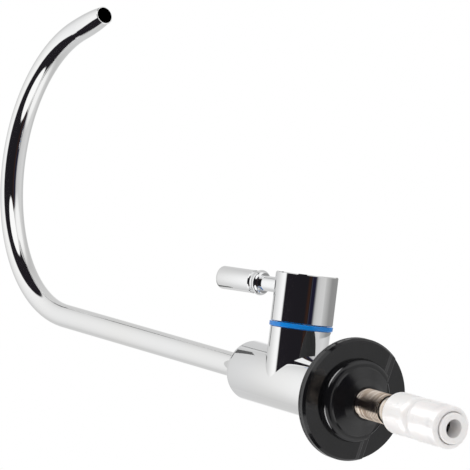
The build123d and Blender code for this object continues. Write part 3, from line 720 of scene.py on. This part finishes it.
def make_floor(scene, stage):
    """Pale floor that fades out towards its rim and lets the camera look up through it."""
    mesh = bpy.data.meshes.new("floor")
    shape = bmesh.new()
    bmesh.ops.create_circle(
        shape, cap_ends=True, radius=stage.floor_size, segments=96,
        matrix=Matrix.Translation((0, 0, stage.floor_height)),
    )
    shape.to_mesh(mesh)
    shape.free()
    floor = bpy.data.objects.new("floor", mesh)
    scene.collection.objects.link(floor)
    material, nodes, links, shader = start_material(
        "floor", FLOOR_COLOUR, metallic=0.0, roughness=0.6)
    shader.inputs["Specular IOR Level"].default_value = 0.2
    distance = measure(nodes, links, "LENGTH", object_coordinates(nodes, links))
    near, far = (share * stage.floor_size for share in FLOOR_FADE)
    fade = spread(nodes, links, distance, (near, 0), (far, 1))
    underside = nodes.new("ShaderNodeNewGeometry").outputs["Backfacing"]
    see_through = nodes.new("ShaderNodeBsdfTransparent")
    mixed = mix_shaders(
        nodes, links, calculate(nodes, links, "MAXIMUM", fade, underside),
        shader.outputs["BSDF"], see_through.outputs["BSDF"],
    )
    links.new(mixed, nodes["Material Output"].inputs["Surface"])
    mesh.materials.append(material)
    floor.visible_glossy = False


# Sheets that only the gloss of the metal and plastic sees, and only from their lit side. The
# flags are dark, the others pale. In metres: the middle, the step to an edge along which the
# grey changes, the step to an edge along which it doesn't, and the greys by place from 0 to 1
REFLECTORS = {
    "reflector_lever": (
        (-0.055, -0.035, 0.090), (0.045, 0, 0), (0, -0.205, 0),
        ((0, 1.07), (0.28, 1.06), (0.39, 1.03), (0.59, 0.93), (0.77, 0.79), (1, 0.66)),
    ),
    "flag_lever_above": (
        (-0.0155, -0.095, 0.0895), (0.0025, 0, 0), (0, -0.030, 0), ((0, 0.12), (1, 0.12)),
    ),
    "flag_lever_below": (
        (-0.0155, -0.018, 0.0895), (0.0025, 0, 0), (0, -0.010, 0), ((0, 0.12), (1, 0.12)),
    ),
    "reflector_cap": (
        (0.030, -0.034, 0.031), (0, 0, 0.031), (0, 0.016, 0),
        ((0, 0.62), (0.30, 0.42), (0.42, 0.30), (1, 0.30)),
    ),
    "reflector_hub_left": (
        (-0.050, 0.066, 0.002), (0.015, 0, 0.009), (0, -0.044, 0), ((0, 9.0), (1, 9.0)),
    ),
    "reflector_hub_right": (
        (-0.050, -0.066, 0.002), (0.015, 0, 0.009), (0, -0.044, 0), ((0, 9.0), (1, 9.0)),
    ),
}


def one_sided_glow(name, middle, across, levels):
    """Light by place along a sheet, on the side its normal points to, and clear from behind."""
    material = bpy.data.materials.new(name)
    material.use_nodes = True
    nodes, links = material.node_tree.nodes, material.node_tree.links
    offset = nodes.new("ShaderNodeVectorMath")
    offset.operation = "SUBTRACT"
    links.new(object_coordinates(nodes, links), offset.inputs[0])
    offset.inputs[1].default_value = middle
    share = measure(
        nodes, links, "DOT_PRODUCT", offset.outputs["Vector"], across / across.length_squared)
    greys = ramp(nodes, levels)
    links.new(spread(nodes, links, share, (-1, 0), (1, 1)), greys.inputs["Fac"])
    glow = nodes.new("ShaderNodeEmission")
    links.new(greys.outputs["Color"], glow.inputs["Color"])
    behind = nodes.new("ShaderNodeNewGeometry").outputs["Backfacing"]
    clear = nodes.new("ShaderNodeBsdfTransparent")
    mixed = mix_shaders(
        nodes, links, behind, glow.outputs["Emission"], clear.outputs["BSDF"])
    links.new(mixed, nodes["Material Output"].inputs["Surface"])
    return material


def make_reflector(scene, name, middle, across, along, levels):
    """A sheet whose lit side is the one that across by along, its normal, points to."""
    middle, across, along = Vector(middle), Vector(across), Vector(along)
    normal = across.cross(along).normalized()
    mesh = bpy.data.meshes.new(name)
    shape = bmesh.new()
    place = Matrix((across, along, normal)).transposed().to_4x4()
    bmesh.ops.create_grid(
        shape, x_segments=1, y_segments=1, size=1.0,
        matrix=Matrix.Translation(middle) @ place,
    )
    shape.to_mesh(mesh)
    shape.free()
    sheet = bpy.data.objects.new(name, mesh)
    scene.collection.objects.link(sheet)
    mesh.materials.append(one_sided_glow(name, middle, across, levels))
    sheet.visible_camera = False
    sheet.visible_diffuse = False
    sheet.visible_transmission = False
    sheet.visible_shadow = False


# The studio, by angles in degrees seen from the faucet: round is measured round the branch's
# axis from the camera's side, lift away from the plane square to that axis, the same to both
# sides. The axes that the angles start from:
TO_CAMERA = Vector((-0.5503, -0.0437, -0.8338))
BRANCH = Vector((0, -0.99863, 0.05234))
# Grey level of the walls by round angle
WALLS = (
    (-180, 0.69), (-150, 0.67), (-125, 0.88), (-95, 1.05), (0, 0.60), (40, 0.52), (55, 0.66),
    (100, 0.74), (135, 0.58), (180, 0.69),
)
# Tones of the dark card by round angle
CARD_TONES = (
    (-90, (0.015, 0.013, 0.017)), (6, (0.014, 0.013, 0.016)), (12, (0.032, 0.016, 0.012)),
    (17, (0.040, 0.020, 0.014)), (20, (0.011, 0.010, 0.012)), (22, (0.055, 0.056, 0.075)),
    (24, (0.014, 0.013, 0.030)), (45, (0.014, 0.014, 0.032)),
)
# Round angles of the card's two edges, each at two lifts, and how soft the edges are
CARD_LEFT = ((20, -82), (62, -140))
CARD_RIGHT = ((36, 38), (43, -8))
CARD_LEFT_EDGE = ((-3, 0), (4, 1))
CARD_RIGHT_EDGE = ((-7, 0), (4, 1))
# Round softboxes: round angle, lift, radius, width of the soft edge, level
SOFTBOXES = (
    (172, 0, 19, 18, 1.04), (-18, 47, 22, 3, 1.12), (62, 52, 22, 20, 1.04),
)


def direction_round_branch(nodes, links):
    """Direction from the faucet, turned so that x is the camera's side and z the branch."""
    direction = nodes.new("ShaderNodeTexCoord")
    turn = nodes.new("ShaderNodeMapping")
    side = BRANCH.cross(TO_CAMERA).normalized()
    to_camera = side.cross(BRANCH)
    turn.inputs["Rotation"].default_value = Matrix((to_camera, side, BRANCH)).to_euler()
    links.new(direction.outputs["Generated"], turn.inputs["Vector"])
    return turn.outputs["Vector"]


def tones_round_branch(nodes, links, turned, tones):
    """Greys or colours by the round angle, from a table in degrees."""
    node = ramp(nodes, [(degrees / 360 + 0.5, tone) for degrees, tone in tones])
    links.new(spread(nodes, links, turned, (-180, 0), (180, 1)), node.inputs["Fac"])
    return node.outputs["Color"]


def inside_card(nodes, links, turned, lift):
    """1 inside the dark card and 0 outside, with its soft edges between."""
    left = calculate(
        nodes, links, "SUBTRACT", turned, spread(nodes, links, lift, *CARD_LEFT))
    right = calculate(
        nodes, links, "SUBTRACT", spread(nodes, links, lift, *CARD_RIGHT), turned)
    return calculate(
        nodes, links, "MULTIPLY",
        spread(nodes, links, left, *CARD_LEFT_EDGE, smooth=True),
        spread(nodes, links, right, *CARD_RIGHT_EDGE, smooth=True),
    )


def inside_softbox(nodes, links, direction, around, up, radius, edge):
    """1 inside a round softbox and 0 outside, with its soft edge between."""
    around, up = math.radians(around), math.radians(up)
    centre = (
        math.cos(around) * math.cos(up), math.sin(around) * math.cos(up), math.sin(up),
    )
    towards = measure(nodes, links, "DOT_PRODUCT", direction, centre)
    rim = math.cos(math.radians(radius + edge / 2))
    middle = math.cos(math.radians(radius - edge / 2))
    return spread(nodes, links, towards, (rim, 0), (middle, 1), smooth=True)


def studio_light(nodes, links):
    """What the faucet's gloss sees all round: walls, over them the card, and the softboxes."""
    direction = separate(nodes, links, direction_round_branch(nodes, links))
    along = calculate(nodes, links, "ABSOLUTE", direction["Z"])
    turned = calculate(nodes, links, "ARCTAN2", direction["Y"], direction["X"])
    turned = calculate(nodes, links, "DEGREES", turned)
    lift = calculate(nodes, links, "DEGREES", calculate(nodes, links, "ARCSINE", along))
    light = blend(
        nodes, links, inside_card(nodes, links, turned, lift),
        tones_round_branch(nodes, links, turned, WALLS),
        tones_round_branch(nodes, links, turned, CARD_TONES),
    )
    folded = nodes.new("ShaderNodeCombineXYZ")
    links.new(direction["X"], folded.inputs["X"])
    links.new(direction["Y"], folded.inputs["Y"])
    links.new(along, folded.inputs["Z"])
    for around, up, radius, edge, level in SOFTBOXES:
        inside = inside_softbox(
            nodes, links, folded.outputs["Vector"], around, up, radius, edge)
        light = blend(nodes, links, inside, light, level)
    return light


def make_studio(scene, stage):
    """The studio for reflections, a soft even light for the rest, and white for the camera."""
    world = bpy.data.worlds.new("studio")
    world.use_nodes = True
    scene.world = world
    nodes, links = world.node_tree.nodes, world.node_tree.links
    soft = nodes["Background"]
    soft.inputs["Color"].default_value = (1, 1, 1, 1)
    soft.inputs["Strength"].default_value = stage.sky
    reflected = nodes.new("ShaderNodeBackground")
    links.new(studio_light(nodes, links), reflected.inputs["Color"])
    backdrop = nodes.new("ShaderNodeBackground")
    backdrop.inputs["Color"].default_value = (1, 1, 1, 1)
    ray = nodes.new("ShaderNodeLightPath").outputs
    lit = mix_shaders(
        nodes, links, ray["Is Glossy Ray"],
        soft.outputs["Background"], reflected.outputs["Background"],
    )
    seen = calculate(
        nodes, links, "MAXIMUM", ray["Is Camera Ray"], ray["Is Transmission Ray"])
    shown = mix_shaders(nodes, links, seen, lit, backdrop.outputs["Background"])
    links.new(shown, nodes["World Output"].inputs["Surface"])


class FAUCET_OT_stage(Operator):
    """Set up the camera, the floor and the studio's light"""

    bl_idname = "faucet.stage"
    bl_label = "Stage"

    def execute(self, context):
        scene = context.scene
        scene.view_settings.view_transform = "Standard"
        place_camera(scene)
        make_floor(scene, scene.faucet_stage)
        make_studio(scene, scene.faucet_stage)
        for name, (middle, across, along, levels) in REFLECTORS.items():
            make_reflector(scene, name, middle, across, along, levels)
        return {"FINISHED"}


PIECES = (
    FAUCET_OT_body, FAUCET_OT_base, FAUCET_OT_shank, FAUCET_OT_handle, FAUCET_OT_spout,
    FAUCET_OT_fitting, FAUCET_OT_inside, FAUCET_OT_stage,
)


class FAUCET_PT_panel(Panel):
    """Lists the faucet's pieces and its stage"""

    bl_idname = "FAUCET_PT_panel"
    bl_label = "Drinking water faucet"
    bl_space_type = "VIEW_3D"
    bl_region_type = "UI"
    bl_category = "Faucet"

    def draw(self, context):
        column = self.layout.column(align=True)
        for piece in PIECES:
            column.operator(piece.bl_idname)
        scene = context.scene
        for group in (scene.faucet_colours, scene.faucet_thread, scene.faucet_stage):
            for name in group.__annotations__:
                self.layout.prop(group, name)


CLASSES = (FaucetColours, FaucetThread, FaucetStage, *PIECES, FAUCET_PT_panel)


def register():
    """Adds the classes and the faucet's settings to the scene."""
    for cls in CLASSES:
        bpy.utils.register_class(cls)
    bpy.types.Scene.faucet_colours = PointerProperty(type=FaucetColours)
    bpy.types.Scene.faucet_thread = PointerProperty(type=FaucetThread)
    bpy.types.Scene.faucet_stage = PointerProperty(type=FaucetStage)


def unregister():
    """Takes the settings and the classes out again."""
    del bpy.types.Scene.faucet_stage
    del bpy.types.Scene.faucet_thread
    del bpy.types.Scene.faucet_colours
    for cls in reversed(CLASSES):
        bpy.utils.unregister_class(cls)


def main():
    """Makes the whole faucet with its stage."""
    register()
    bpy.ops.faucet.body()
    bpy.ops.faucet.base()
    bpy.ops.faucet.shank()
    bpy.ops.faucet.handle()
    bpy.ops.faucet.spout()
    bpy.ops.faucet.fitting()
    bpy.ops.faucet.inside()
    bpy.ops.faucet.stage()
    bpy.context.view_layer.update()


if __name__ == "__main__":
    main()
